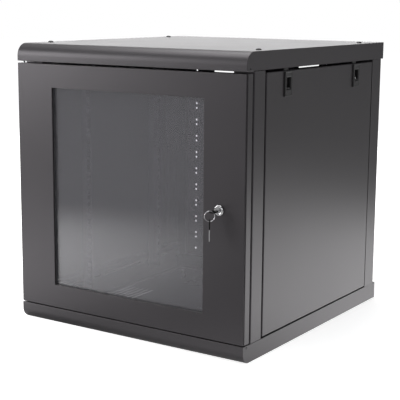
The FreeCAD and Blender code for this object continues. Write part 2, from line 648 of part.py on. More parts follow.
def key_parts(place):
    """Moulded head and steel blade of a key: flat in XY, blade towards +Y, origin at the ring hole."""
    half_head = key_head_r - 1.5
    shoulder = [(-key_head_r, 0), (-half_head, key_head_back), (half_head, key_head_back), (key_head_r, 0)]
    grip = joined(prism("z", shoulder, [0, 3, 3, 0], -key_thick / 2, key_thick / 2),
                  rod((0, 0, -key_thick / 2), key_head_r, key_thick, (0, 0, 1)))
    grip = grip.cut(rod((0, 0, -5), key_hole_r, 10, (0, 0, 1)))
    half_blade = key_blade_w / 2
    tip = key_head_back + key_blade
    blade = [(-half_blade, key_head_back), (half_blade, key_head_back), (half_blade, tip - 2),
             (half_blade - 2, tip), (-half_blade + 1, tip)]
    for step in range(5):
        notch = tip - 4 - 4 * step
        depth = 1.4 if step % 2 else 0.8
        blade += [(-half_blade, notch + 1.6), (-half_blade + depth, notch), (-half_blade, notch - 1.6)]
    steel = prism("z", blade, 0, -key_blade_t / 2, key_blade_t / 2)
    for shape in (grip, steel):
        shape.Placement = place
    return grip, steel


key_place = FreeCAD.Placement(V(lock_x, front - key_out, lock_z), FreeCAD.Rotation(V(0, 0, 1), 0))
key_head, key_steel = key_parts(key_place)
save("key_head", key_head)
save("key_blade", key_steel)

swing = V(math.cos(math.radians(ring_turn)), math.sin(math.radians(ring_turn)), 0)
bar = V(lock_x, front - key_out, lock_z) - swing * ((key_head_r + key_hole_r) / 2)
ring_z = lock_z + key_thick / 2 + ring_slack - (ring_r - ring_wire)
section = [V(ring_r + x * ring_wire, 0, z * ring_wire) for x, z in ((1, -1), (1, 1), (-1, 1), (-1, -1))]
flat_ring = Part.Face(Part.makePolygon(section + section[:1])).revolve(V(0, 0, 0), V(0, 0, 1), 360)
flat_ring.Placement = FreeCAD.Placement(V(bar.x, bar.y, ring_z),
                                        FreeCAD.Rotation(V(0, 0, 1), swing.cross(V(0, 0, 1))))
save("key_ring", flat_ring)
spare_z = ring_z - ring_r + ring_wire + ring_slack - key_hole_r
hanging = FreeCAD.Rotation(V(0, 0, 1), ring_turn - 90) * FreeCAD.Rotation(V(1, 0, 0), -90)
spare_head, spare_steel = key_parts(FreeCAD.Placement(V(bar.x, bar.y, spare_z), hanging))
save("spare_key_head", spare_head)
save("spare_key_blade", spare_steel)

# ---- side panels and their latches -----------------------------------------------------------
latch_low = high - latch_top - latch_height
latch_high = high - latch_top
window_z = (latch_low + 14.0, latch_low + 14.0 + latch_window_h)
latch_places = (panel_front + latch_front, panel_back - latch_rear)
slide_x = (half_w - 6.5, half_w - 6.5 + latch_plate)
slider_low = window_z[0] + 1
slider_high = top_edge - 0.5

skin = box((half_w - panel_return, half_w), (panel_front, panel_back), (low, high))
faces_out = [e for e in skin.Edges if abs(e.CenterOfMass.x - half_w) < 0.01]
skin = skin.makeFillet(bend + panel_sheet, faces_out)
inside = box((half_w - panel_return - 1, half_w - panel_sheet),
             (panel_front + panel_sheet, panel_back - panel_sheet), (low + panel_sheet, high - panel_sheet))
faces_out = [e for e in inside.Edges if abs(e.CenterOfMass.x - half_w + panel_sheet) < 0.01]
inside = inside.makeFillet(bend, faces_out)
panel = skin.cut(inside)
latch_cuts = []
for y in latch_places:
    latch_cuts.append(box((half_w - panel_sheet - 2, half_w + 1),
                          (y - latch_width / 2 + 2, y + latch_width / 2 - 2), (latch_low + 2, latch_high - 2)))
    latch_cuts.append(box((slide_x[0] - 0.6, slide_x[1] + 0.6),
                          (y - latch_tongue / 2 - 0.6, y + latch_tongue / 2 + 0.6), (high - 3, high + 1)))
panel_tabs = [box((tab_outer - sheet, tab_outer), (y - tab_length / 2, y + tab_length / 2),
                  (low - tab_drop, low + panel_sheet)) for y in tab_places]
shoulders = [box((tab_outer - sheet, tab_outer), (y - tab_length / 2 - 6, y + tab_length / 2 + 6),
                 (base_top + free_gap, low + panel_sheet)) for y in tab_places]
save_pair("side_panel", cut_all(joined(panel, *panel_tabs, *shoulders), latch_cuts))


def latch_housing(y):
    """Moulded housing in the panel's cut-out, with a finger window and a guided pocket behind it."""
    bezel = box((half_w, half_w + latch_proud), (y - latch_width / 2, y + latch_width / 2), (latch_low, latch_high))
    rim = [e for e in bezel.Edges if abs(e.CenterOfMass.x - half_w - latch_proud) < 0.01]
    bezel = bezel.makeFillet(1.2, rim)
    box_in = box((slide_x[0] - 1.5, half_w), (y - latch_width / 2 + 2.2, y + latch_width / 2 - 2.2),
                 (latch_low + 2.2, latch_high - 2.2))
    pocket = box((slide_x[0] - free_gap, slide_x[1] + free_gap),
                 (y - latch_tongue / 2 - free_gap, y + latch_tongue / 2 + free_gap),
                 (latch_low + 5, latch_high + 1))
    finger = box((slide_x[0] - free_gap, half_w + latch_proud + 1),
                 (y - latch_window_w / 2, y + latch_window_w / 2), window_z)
    return joined(bezel, box_in).cut(pocket).cut(finger)


def latch_slider(y):
    """Flat slider with a finger ledge and the tongue that goes up behind the top cover."""
    plate = box(slide_x, (y - latch_tongue / 2, y + latch_tongue / 2), (slider_low, slider_high))
    grip = box((slide_x[0], half_w + 1), (y - latch_tongue / 2 + 1, y + latch_tongue / 2 - 1),
               (slider_low, slider_low + 2.5))
    return joined(plate, grip)


housings = [latch_housing(y) for y in latch_places]
save("latch_housings_right", *housings)
save("latch_housings_left", *[mirrored(shape) for shape in housings])
for end, y in zip(("front", "rear"), latch_places):
    save_pair("latch_slider_" + end, latch_slider(y))

# ---- earth stud ------------------------------------------------------------------------------
stud_x, stud_y = -half_w + 100, rear - 120
stud = six_sided((stud_x, stud_y, sheet), bolt_r, 20, (0, 0, 1))
nut = six_sided((stud_x, stud_y, sheet + 4), 5.8, 5, (0, 0, 1)).cut(stud)
save("earth_stud", stud, nut)
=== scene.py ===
"""Wall mount network cabinet: the dressed model.

X to the right, Y to the rear, Z up from the base, in metres. Every shell is a surface S(u, v) on a grid
that takes its place from the frame's boxes; folds get their bend from a Bevel, walls theirs from Solidify.
"""
import math

import bmesh
import bpy
import numpy as np
from mathutils import Matrix, Vector


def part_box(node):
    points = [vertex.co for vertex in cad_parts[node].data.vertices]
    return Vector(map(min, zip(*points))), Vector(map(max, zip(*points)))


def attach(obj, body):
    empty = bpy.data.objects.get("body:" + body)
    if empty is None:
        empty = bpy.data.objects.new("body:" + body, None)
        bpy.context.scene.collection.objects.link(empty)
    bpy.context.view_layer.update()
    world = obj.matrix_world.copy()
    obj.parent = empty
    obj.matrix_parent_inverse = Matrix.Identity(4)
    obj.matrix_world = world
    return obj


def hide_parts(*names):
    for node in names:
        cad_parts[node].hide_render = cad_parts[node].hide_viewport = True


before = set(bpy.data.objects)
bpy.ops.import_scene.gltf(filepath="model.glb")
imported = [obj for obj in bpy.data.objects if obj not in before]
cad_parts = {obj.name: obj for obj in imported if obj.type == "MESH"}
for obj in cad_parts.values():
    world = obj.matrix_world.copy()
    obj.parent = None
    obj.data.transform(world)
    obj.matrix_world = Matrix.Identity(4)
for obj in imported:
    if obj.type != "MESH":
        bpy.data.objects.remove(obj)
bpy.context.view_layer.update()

MM = 0.001

# ---- sizes that the frame's boxes do not give -------------------------------------------------
sheet = 1.5 * MM              # covers
panel_sheet = 1.2 * MM        # side panels and door plate
fold_r = 2.2 * MM             # outer bend radius of the side panels
edge_r = 0.35 * MM            # broken edge of a cut or moulded piece
top_roll = 28 * MM            # radius of the top cover's front edge
base_roll = 24 * MM
cover_bend = 0.9 * MM         # sharp folds of a cover
cover_lip = 26 * MM           # flange of a cover under or over the door
roll_steps = 14

vent_count = 6                # each side of the cable entry
vent_pitch = 14 * MM
vent_start = 190 * MM
vent_width = 5 * MM
vent_length = 90 * MM
plate_lap = 14 * MM           # cable entry plate beyond its opening

panel_fold = 12 * MM          # depth of a side panel's folded edges
tab_count = 3
tab_length = 40 * MM
tab_drop = 8 * MM             # tabs below the panel's lower edge
tab_inset = 4 * MM            # tabs behind the panel's face
latch_hole = 26 * MM          # cut-out in the panel for a latch
latch_hole_top = 3.5 * MM     # below the panel's top edge
latch_hole_low = 51.5 * MM
slit_inset = 7.1 * MM         # slit for the slider, behind the panel's face
slit_width = 3.4 * MM
slit_gap = 0.6 * MM           # each side of the slider

glass_overlap = 12 * MM       # door plate over the glass
glass_arris = 1.2 * MM        # ground edge of the glass
window_return = 5 * MM        # depth of the door plate's edge round the window
seal_proud = 0.4 * MM         # window seal past the door plate's edge

barrel_r = 9 * MM             # threaded barrel of the lock
plug_r = 5.5 * MM
plug_gap = 0.1 * MM
thread_pitch = 1.0 * MM
thread_depth = 0.35 * MM
thread_end = 2 * MM           # the thread stops this far behind the door's front
bezel_roll = 2.2 * MM         # rolled rim of the lock's bezel
bezel_land = 3.2 * MM         # width of the rim, to the start of the recess

key_head_r = 8 * MM
key_hole_r = 4.6 * MM
key_thick = 1.9 * MM
key_rim = 0.25 * MM
key_border = 0.22             # width of the raised edge, as a share of the way to the hole
key_border_slope = 0.97       # foot of the raised edge, as a share of its inner line
key_neck = 13.5 * MM          # from the hole to the end of the head
key_shoulder = 6.5 * MM       # half width of the head at its neck
key_corner = 3 * MM
key_tip = 37.5 * MM
blade_half = 3.7 * MM         # half width of the blade
blade_thick = 0.9 * MM        # half thickness
blade_groove = 0.55 * MM      # half thickness in the groove along it
cut_depth = 1.5 * MM
cut_pitch = 4 * MM
cut_phase = 17 * MM           # peak of the cosine of the cuts, from the hole
first_cut = 19 * MM
cut_end = 3 * MM              # from the last cut to the tip
point_length = 2.6 * MM
point_rise = 1.6 * MM         # of the lower edge
point_fall = 2.2 * MM         # of the upper edge
groove_steps = -0.9 * MM, -0.5 * MM, 0.7 * MM, 1.1 * MM    # edges and foot of the groove, from the middle
blade_back = 0.5 * MM         # rounded back of the blade
ring_wire = 0.85 * MM
ring_turn = math.radians(33.5)    # the ring hangs turned by this angle about the vertical

screw_head_r = 6.2 * MM
screw_head_h = 3.4 * MM
recess_half = 0.55 * MM       # half width of the cross recess
recess_arm = 2.7 * MM
recess_depth = 1.5 * MM
rivet_r = 2.6 * MM
rivet_proud = 0.9 * MM
rivet_roll = 0.8 * MM         # rounding of a rivet's head
stub_r = 0.9 * MM             # hole of the rivet's mandrel
stub_depth = 0.5 * MM         # its floor, above the cover's face

latch_width = 30 * MM
latch_proud = 3.5 * MM
latch_window_w = 19 * MM
latch_window_h = 25.5 * MM
latch_window_low = 14 * MM    # above the housing's lower edge
latch_rim = 2.2 * MM
latch_slope = 0.6 * MM        # from the rim down to the dished field
latch_dish = 0.5 * MM         # depth of that field
latch_round = 0.5 * MM        # rounding of its edges
latch_flare = 1.0 * MM        # widening of the finger window at its mouth
latch_mouth = 1.2 * MM        # depth at which the window's straight walls begin
latch_wall = 2.4 * MM         # housing's box behind the panel, in from the bezel's edge
latch_box = 4.2 * MM          # its depth

round_steps = 48              # sides of a turned piece


def middle(node):
    """Centre of a node's box."""
    low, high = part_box(node)
    return (Vector(low) + Vector(high)) / 2


# ---- mesh ------------------------------------------------------------------------------------
def piece(name, points, faces, finish, body, node=None):
    """Mesh object at the origin from points (n, 3) and faces; it rides on body and may stand for a node."""
    mesh = bpy.data.meshes.new(name)
    mesh.from_pydata(np.asarray(points, float).tolist(), [], faces)
    mesh.validate()
    mesh.shade_smooth()
    thing = bpy.data.objects.new(name, mesh)
    bpy.context.scene.collection.objects.link(thing)
    mesh.materials.append(finish)
    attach(thing, body)
    if node:
        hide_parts(node)
    return thing


def quads(rows, columns, keep=None, wrap=False):
    """Quad corners of a grid of rows by columns points; keep masks cells, wrap closes each row on itself."""
    r, c = np.meshgrid(np.arange(rows - 1), np.arange(columns if wrap else columns - 1), indexing="ij")
    after = (c + 1) % columns
    cells = np.stack([r * columns + c, r * columns + after,
                      (r + 1) * columns + after, (r + 1) * columns + c], axis=-1)
    if keep is not None:
        return cells[keep].reshape(-1, 4).tolist()
    return cells.reshape(-1, 4).tolist()


def end_caps(rows, columns):
    """Faces that close the first and the last ring of a wrapped grid."""
    last = (rows - 1) * columns
    return [list(range(columns)), [last + i for i in range(columns)][::-1]]


def joint_band(rows, columns):
    """Quads from the last ring back to the first, which close a loop of rings."""
    last = (rows - 1) * columns
    return [[last + i, last + (i + 1) % columns, (i + 1) % columns, i] for i in range(columns)]


def rings_piece(name, rings, finish, body, node, closed=False):
    """Surface through rings of equal length, S(u, v), closed around v and, if closed, around u too."""
    rings = np.asarray(rings)
    count, sides = rings.shape[:2]
    faces = quads(count, sides, wrap=True)
    if closed:
        faces += joint_band(count, sides)
    return piece(name, rings.reshape(-1, 3), faces, finish, body, node)


def joined_piece(name, shapes, finish, body, node=None):
    """One piece from several closed shapes."""
    points, faces, base = [], [], 0
    for shape_points, shape_faces in shapes:
        points.append(np.asarray(shape_points))
        faces += [[base + i for i in face] for face in shape_faces]
        base += len(shape_points)
    return outward(piece(name, np.concatenate(points), faces, finish, body, node))


def slab(x, y, z):
    """Closed block between limits, as points and faces."""
    x, y, z = sorted(x), sorted(y), sorted(z)
    corners = np.array([(a, b, c) for c in z for b in y for a in x])
    return corners, [[0, 2, 3, 1], [4, 5, 7, 6], [0, 1, 5, 4], [2, 6, 7, 3], [0, 4, 6, 2], [1, 3, 7, 5]]


def rectangle(x, z, y):
    """Ring of four corners at one depth."""
    return np.array([(x[0], y, z[0]), (x[1], y, z[0]), (x[1], y, z[1]), (x[0], y, z[1])])


def inset(limits, amount):
    """Limits brought in by an amount at both ends."""
    return limits[0] + amount, limits[1] - amount


def arc(centre, radius, start, end, steps):
    """Points centre + radius (cos t, sin t) for t from start to end in degrees."""
    t = np.radians(np.linspace(start, end, steps + 1))
    return np.stack([centre[0] + radius * np.cos(t), centre[1] + radius * np.sin(t)], axis=1)


def turned(profile, centre, axis, first=None, steps=round_steps):
    """Rings of a turned piece from profile rows (r, h).

    S(u, v) = centre + h(u) axis + r(u) (cos v a + sin v b), with a along first or any way across the axis.
    """
    axis = np.array(Vector(axis).normalized())
    a = np.array(Vector(first).normalized() if first else Vector(axis).orthogonal().normalized())
    b = np.cross(axis, a)
    r, h = np.asarray(profile, float).T
    v = np.linspace(0, 2 * np.pi, steps, endpoint=False)
    around = np.cos(v)[:, None] * a + np.sin(v)[:, None] * b
    return np.asarray(centre) + h[:, None, None] * axis + r[:, None, None] * around[None]


def torus(centre, axis, radius, wire, around=72, section=12):
    """Ring: S(u, v) = centre + (R + r cos v) e(u) + r sin v axis."""
    axis = np.array(Vector(axis).normalized())
    a = np.array(Vector(axis).orthogonal().normalized())
    b = np.cross(axis, a)
    u = np.linspace(0, 2 * np.pi, around, endpoint=False)[:, None, None]
    v = np.linspace(0, 2 * np.pi, section, endpoint=False)[None, :, None]
    out = np.cos(u) * a + np.sin(u) * b
    return np.asarray(centre) + (radius + wire * np.cos(v)) * out + wire * np.sin(v) * axis


def moved(points, place):
    """Points taken to their place by a 4 by 4 matrix."""
    place = np.array(place)
    return points @ place[:3, :3].T + place[:3, 3]


def outward(thing):
    """Turns the faces of a closed mesh outwards, after its doubled points are merged."""
    work = bmesh.new()
    work.from_mesh(thing.data)
    bmesh.ops.remove_doubles(work, verts=work.verts, dist=1e-7)
    bmesh.ops.recalc_face_normals(work, faces=work.faces)
    work.to_mesh(thing.data)
    work.free()
    thing.data.shade_smooth()
    return thing


def face_out(thing, inside):
    """Makes the faces of an open shell agree, with the broadest one turned away from the inside point."""
    work = bmesh.new()
    work.from_mesh(thing.data)
    bmesh.ops.recalc_face_normals(work, faces=work.faces)
    broad = max(work.faces, key=lambda face: face.calc_area())
    if (broad.calc_center_median() - inside).dot(broad.normal) < 0:
        bmesh.ops.reverse_faces(work, faces=work.faces)
    work.to_mesh(thing.data)
    work.free()


def rounded(thing, width, segments=3, angle=40):
    """Bevel on edges sharper than angle."""
    step = thing.modifiers.new("Round", "BEVEL")
    step.width = width
    step.segments = segments
    step.limit_method = "ANGLE"
    step.angle_limit = math.radians(angle)
    step.use_clamp_overlap = True
    return thing


def walled(thing, thickness):
    """Wall of even thickness on the inner side of a shell."""
    step = thing.modifiers.new("Wall", "SOLIDIFY")
    step.thickness = thickness
    step.offset = -1
    step.use_even_offset = True
    return thing


def flat_faces(thing):
    """Normals weighted by face area, so that flat faces stay flat beside small bends."""
    step = thing.modifiers.new("Normals", "WEIGHTED_NORMAL")
    step.weight = 60
    return thing


def with_lines(line, extra):
    """Path rows (a, b) with more points where a straight run crosses one of the extra lines in a."""
    tiny = 1e-6
    rows = [line[:1]]
    for start, end in zip(line[:-1], line[1:]):
        span = end[0] - start[0]
        shares = [(value - start[0]) / span for value in extra if abs(span) > tiny]
        cuts = sorted(t for t in shares if tiny < t < 1 - tiny)
        rows += [(start + (end - start) * t)[None] for t in cuts] + [end[None]]
    return np.concatenate(rows)


def swept_shell(path, lines, place, windows):
    """Open shell S(u, v): a path in one plane carried along the other axis at the given lines.

    place(a, b, c) turns path coordinates a, b and run c into x, y, z. windows are (low, high) corners of
    cut-outs in x, y, z: a cell whose middle lies in one is left out. End walls close both ends.
    """
    rows, columns = len(path), len(lines)
    a = np.repeat(path[:, :1], columns, axis=1)
    b = np.repeat(path[:, 1:], columns, axis=1)
    c = np.repeat(np.asarray(lines)[None], rows, axis=0)
    grid = place(a, b, c)
    centre = (grid[:-1, :-1] + grid[1:, :-1] + grid[:-1, 1:] + grid[1:, 1:]) / 4
    keep = np.ones(centre.shape[:2], bool)
    for low, high in windows:
        keep &= ~np.all((centre > np.array(low)) & (centre < np.array(high)), axis=-1)
    faces = quads(rows, columns, keep)
    faces.append([r * columns for r in range(rows)])
    faces.append([r * columns + columns - 1 for r in range(rows)][::-1])
    return grid.reshape(-1, 3), faces


# ---- node groups -----------------------------------------------------------------------------
def group(name, inputs, outputs):
    """Empty shader group with float or vector sockets, and its two end nodes."""
    tree = bpy.data.node_groups.new(name, "ShaderNodeTree")
    for label, kind, value in inputs:
        socket = tree.interface.new_socket(label, in_out="INPUT", socket_type="NodeSocket" + kind)
        if value is not None:
            socket.default_value = value
    for label in outputs:
        tree.interface.new_socket(label, in_out="OUTPUT", socket_type="NodeSocketFloat")
    return tree, tree.nodes.new("NodeGroupInput"), tree.nodes.new("NodeGroupOutput")


def noise(tree, vector, scale, detail, rough):
    """Noise texture; scale is a number or a socket."""
    node = tree.nodes.new("ShaderNodeTexNoise")
    node.inputs["Detail"].default_value = detail
    node.inputs["Roughness"].default_value = rough
    tree.links.new(vector, node.inputs["Vector"])
    if isinstance(scale, (int, float)):
        node.inputs["Scale"].default_value = scale
    else:
        tree.links.new(scale, node.inputs["Scale"])
    return node.outputs["Fac"]


def reckon(tree, operation, first, second):
    """Math node; each operand is a number or a socket."""
    node = tree.nodes.new("ShaderNodeMath")
    node.operation = operation
    for slot, value in zip(node.inputs, (first, second)):
        if isinstance(value, (int, float)):
            slot.default_value = value
        else:
            tree.links.new(value, slot)
    return node.outputs[0]


def swung(tree, texture, change, base):
    """Base value plus a texture's swing about its middle, times change."""
    swing = reckon(tree, "MULTIPLY", reckon(tree, "SUBTRACT", texture, 0.5), change)
    return reckon(tree, "ADD", swing, base)


def powder_group():
    """Orange peel of a powder coat: fine rounded grain, and broad drifts that shade colour and gloss."""
    inputs = [("Vector", "Vector", None), ("Grain", "Float", 900.0), ("Drift", "Float", 6.0),
              ("Base gloss", "Float", 0.4), ("Gloss change", "Float", 0.06)]
    tree, start, end = group("Powder coat", inputs, ["Height", "Gloss", "Shade"])
    grain = noise(tree, start.outputs["Vector"], start.outputs["Grain"], detail=2.5, rough=0.55)
    broad = noise(tree, start.outputs["Vector"], start.outputs["Drift"], detail=3.0, rough=0.6)
    gloss = swung(tree, broad, start.outputs["Gloss change"], start.outputs["Base gloss"])
    tree.links.new(grain, end.inputs["Height"])
    tree.links.new(gloss, end.inputs["Gloss"])
    tree.links.new(broad, end.inputs["Shade"])
    return tree


def settled_dust_group():
    """Fine dust that lies on faces turned upwards: a mask from the normal's Z, broken up by noise."""
    inputs = [("Vector", "Vector", None), ("Normal", "Vector", None), ("Amount", "Float", 0.2)]
    tree, start, end = group("Settled dust", inputs, ["Mask"])
    split = tree.nodes.new("ShaderNodeSeparateXYZ")
    tree.links.new(start.outputs["Normal"], split.inputs[0])
    steepest = 0.6            # a face whose normal rises less than this holds no dust
    upward = reckon(tree, "MAXIMUM", reckon(tree, "SUBTRACT", split.outputs["Z"], steepest), 0.0)
    specks = noise(tree, start.outputs["Vector"], scale=260.0, detail=4.0, rough=0.7)
    lying = reckon(tree, "MULTIPLY", upward, specks)
    tree.links.new(reckon(tree, "MULTIPLY", lying, start.outputs["Amount"]), end.inputs["Mask"])
    return tree


def brushed_group():
    """Drawn or plated metal: long fine streaks along one axis, as height and gloss."""
    inputs = [("Vector", "Vector", None), ("Streak", "Vector", (1, 1, 1)), ("Base gloss", "Float", 0.25)]
    tree, start, end = group("Brushed metal", inputs, ["Height", "Gloss"])
    scaled = tree.nodes.new("ShaderNodeVectorMath")
    scaled.operation = "MULTIPLY"
    tree.links.new(start.outputs["Vector"], scaled.inputs[0])
    tree.links.new(start.outputs["Streak"], scaled.inputs[1])
    streak = noise(tree, scaled.outputs[0], scale=300.0, detail=3.0, rough=0.6)
    tree.links.new(streak, end.inputs["Height"])
    gloss = swung(tree, streak, change=0.15, base=start.outputs["Base gloss"])
    tree.links.new(gloss, end.inputs["Gloss"])
    return tree


powder_coat = powder_group()
settled_dust = settled_dust_group()
brushed_metal = brushed_group()


def material(name, **constants):
    """New material, its tree, shader and Object coordinates; constants go on the shader's sockets."""
    made = bpy.data.materials.new(name)
    made.use_nodes = True
    tree = made.node_tree
    shader = tree.nodes["Principled BSDF"]
    for label, value in constants.items():
        shader.inputs[label.replace("_", " ").title().replace("Ior", "IOR")].default_value = value
    place = tree.nodes.new("ShaderNodeTexCoord")
    return made, tree, shader, place.outputs["Object"]


def placed(tree, kind, vector, **values):
    """A group node in a material with its own values."""
    node = tree.nodes.new("ShaderNodeGroup")
    node.node_tree = kind
    tree.links.new(vector, node.inputs["Vector"])
    for label, value in values.items():
        node.inputs[label.replace("_", " ").capitalize()].default_value = value
    return node


def bumped(tree, shader, height, distance, strength):
    """Bump node from a height to the shader's normal."""
    bump = tree.nodes.new("ShaderNodeBump")
    bump.inputs["Distance"].default_value = distance
    bump.inputs["Strength"].default_value = strength
    tree.links.new(height, bump.inputs["Height"])
    tree.links.new(bump.outputs["Normal"], shader.inputs["Normal"])


def two_tone(tree, shader, mask, colour, swing):
    """Base Color from a little darker to a little lighter than the colour, by a mask; returns the mix."""
    mix = tree.nodes.new("ShaderNodeMix")
    mix.data_type = "RGBA"
    mix.inputs["A"].default_value = (*(c * (1 - swing) for c in colour), 1)
    mix.inputs["B"].default_value = (*(c * (1 + swing) for c in colour), 1)
    tree.links.new(mask, mix.inputs["Factor"])
    tree.links.new(mix.outputs["Result"], shader.inputs["Base Color"])
    return mix


# ---- materials -------------------------------------------------------------------------------
coat_tint = (1.0, 0.94, 1.0, 1.0)     # of the coat's gloss
dust_colour = (0.42, 0.40, 0.38, 1)
glass_tint = (0.78, 0.77, 0.82)


def powder_black(name, colour, gloss, dust=0.0, shine=0.5):
    """Black powder coat on steel: orange peel, slow drifts of shade and gloss, a little dust on top."""
    made, tree, shader, where = material(name, specular_ior_level=shine, specular_tint=coat_tint)
    peel = placed(tree, powder_coat, where, grain=900.0, drift=5.0, base_gloss=gloss, gloss_change=0.07)
    tree.links.new(peel.outputs["Gloss"], shader.inputs["Roughness"])
    mix = two_tone(tree, shader, peel.outputs["Shade"], colour, swing=0.12)
    bumped(tree, shader, peel.outputs["Height"], distance=0.12 * MM, strength=0.55)
    if dust:
        face = tree.nodes.new("ShaderNodeNewGeometry")
        specks = placed(tree, settled_dust, where, amount=dust)
        tree.links.new(face.outputs["Normal"], specks.inputs["Normal"])
        dusty = tree.nodes.new("ShaderNodeMix")
        dusty.data_type = "RGBA"
        dusty.inputs["B"].default_value = dust_colour
        tree.links.new(mix.outputs["Result"], dusty.inputs["A"])
        tree.links.new(specks.outputs["Mask"], dusty.inputs["Factor"])
        tree.links.new(dusty.outputs["Result"], shader.inputs["Base Color"])
    return made


def bright_metal(name, colour, gloss, streak, depth=0.03 * MM):
    """Plated or drawn steel with fine streaks along the axis whose streak number is small."""
    made, tree, shader, where = material(name, base_color=(*colour, 1), metallic=1.0)
    node = placed(tree, brushed_metal, where, streak=streak, base_gloss=gloss)
    tree.links.new(node.outputs["Gloss"], shader.inputs["Roughness"])
    bumped(tree, shader, node.outputs["Height"], distance=depth, strength=0.35)
    return made


def moulded(name, colour, gloss, grain=1400.0, shine=0.5):
    """Moulded plastic or rubber with a fine spark-eroded grain."""
    made, tree, shader, where = material(name, specular_ior_level=shine)
    node = placed(tree, powder_coat, where, grain=grain, drift=30.0, base_gloss=gloss, gloss_change=0.1)
    tree.links.new(node.outputs["Gloss"], shader.inputs["Roughness"])
    two_tone(tree, shader, node.outputs["Shade"], colour, swing=0.15)
    bumped(tree, shader, node.outputs["Height"], distance=0.08 * MM, strength=0.5)
    return made


def tinted_glass():
    """Grey tinted toughened glass with faint roller waves; lets the lamps shine through it."""
    made, tree, shader, where = material("Tinted glass", base_color=(*glass_tint, 1), roughness=0.02, ior=1.5,
                                         transmission_weight=0.952)
    wave = noise(tree, where, scale=3.0, detail=0.0, rough=0.3)
    bumped(tree, shader, wave, distance=0.4 * MM, strength=0.05)
    clear = tree.nodes.new("ShaderNodeBsdfTransparent")
    clear.inputs["Color"].default_value = (*glass_tint, 1)
    path = tree.nodes.new("ShaderNodeLightPath")
    either = reckon(tree, "MAXIMUM", path.outputs["Is Shadow Ray"], path.outputs["Is Diffuse Ray"])
    mix = tree.nodes.new("ShaderNodeMixShader")
    tree.links.new(either, mix.inputs["Fac"])
    tree.links.new(shader.outputs[0], mix.inputs[1])
    tree.links.new(clear.outputs[0], mix.inputs[2])
    tree.links.new(mix.outputs[0], tree.nodes["Material Output"].inputs["Surface"])
    return made


black_steel = powder_black("Black powder coat", (0.030, 0.028, 0.030), gloss=0.36, dust=0.25)
# Covers: the same black powder coat with a lighter colour, as painted light for the light that falls on the
# covers.
cover_steel_painted_lighter = powder_black("Black powder coat on covers, painted lighter", (0.036, 0.034, 0.036), gloss=0.40, dust=0.25)
# Inside parts: the same black powder coat with a darker colour, as painted shade for the dim inside of the
# cabinet.
inner_steel_painted_darker = powder_black("Black powder coat inside, painted darker", (0.026, 0.025, 0.028), gloss=0.58, shine=0.35)
rail_steel = powder_black("Black powder coat on rails", (0.045, 0.043, 0.048), gloss=0.52, shine=0.4)
black_plastic = moulded("Black moulded plastic", (0.022, 0.021, 0.022), gloss=0.38)
key_plastic = moulded("Key head plastic", (0.005, 0.005, 0.005), gloss=0.42, grain=2200.0, shine=0.12)
black_rubber = moulded("Black rubber", (0.030, 0.030, 0.031), gloss=0.62, grain=2600.0)
# Window seal: rubber painted grey, lighter than the black rubber; partly its own tone, partly painted light
# that lifts the shade in the window's reveal.
seal_rubber_painted_lighter = moulded("Grey window seal, painted lighter", (0.085, 0.085, 0.088), gloss=0.62, grain=2600.0)
nylon = moulded("White nylon", (0.62, 0.60, 0.55), gloss=0.45, grain=1800.0)
black_screws = bright_metal("Blackened screws", (0.06, 0.058, 0.06), gloss=0.36, streak=(1, 1, 1))
zinc_steel = bright_metal("Zinc plated steel", (0.62, 0.63, 0.64), gloss=0.34, streak=(1, 1, 0.3),
                          depth=0.06 * MM)
chrome = bright_metal("Chrome", (0.66, 0.66, 0.67), gloss=0.12, streak=(0.4, 0.4, 0.4), depth=0.01 * MM)
plug_steel = bright_metal("Satin nickel plug", (0.42, 0.42, 0.43), gloss=0.30, streak=(1, 1, 0.2))
ring_steel = bright_metal("Bright ring wire", (0.60, 0.60, 0.62), gloss=0.16, streak=(1, 1, 1))
glass = tinted_glass()

node_finish = {
    cover_steel_painted_lighter: ["top_cover", "bottom_cover"],
    black_steel: ["door_plate", "door_channel_left", "door_channel_right", "door_channel_top",
                  "door_channel_bottom", "side_panel_left", "side_panel_right", "front_post_left",
                  "front_post_right", "rear_post_left", "rear_post_right"],
    inner_steel_painted_darker: ["rear_panel", "cable_entry_plate", "front_beam_top", "front_beam_bottom", "rear_beam_top",
                  "rear_beam_bottom", "side_beam_top_left", "side_beam_top_right", "side_beam_bottom_left",
                  "side_beam_bottom_right", "rail_supports_left", "rail_supports_right"],
    rail_steel: ["front_rack_rail_left", "front_rack_rail_right", "rear_rack_rail_left",
                 "rear_rack_rail_right"],
    black_plastic: ["latch_housings_left", "latch_housings_right", "latch_slider_front_left",
                    "latch_slider_front_right", "latch_slider_rear_left", "latch_slider_rear_right"],
    black_rubber: ["door_bumpers"],
    seal_rubber_painted_lighter: ["window_gasket"],
    key_plastic: ["key_head", "spare_key_head"],
    nylon: ["hinge_bushes"],
    black_screws: ["cover_screws", "cover_rivets", "panel_screws", "frame_bolts", "rail_bolts"],
    zinc_steel: ["glass_clips", "glass_clip_screws", "hinge_brackets", "hinge_pin_lower", "hinge_pin_upper",
                 "lock_nut", "lock_cam", "cam_screw", "earth_stud"],
    chrome: ["lock_body"],
    plug_steel: ["lock_plug", "key_blade", "spare_key_blade"],
    ring_steel: ["key_ring"],
    glass: ["window_glass"],
}
for finish, names in node_finish.items():
    for name in names:
        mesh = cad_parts[name].data
        mesh.materials.clear()
        mesh.materials.append(finish)


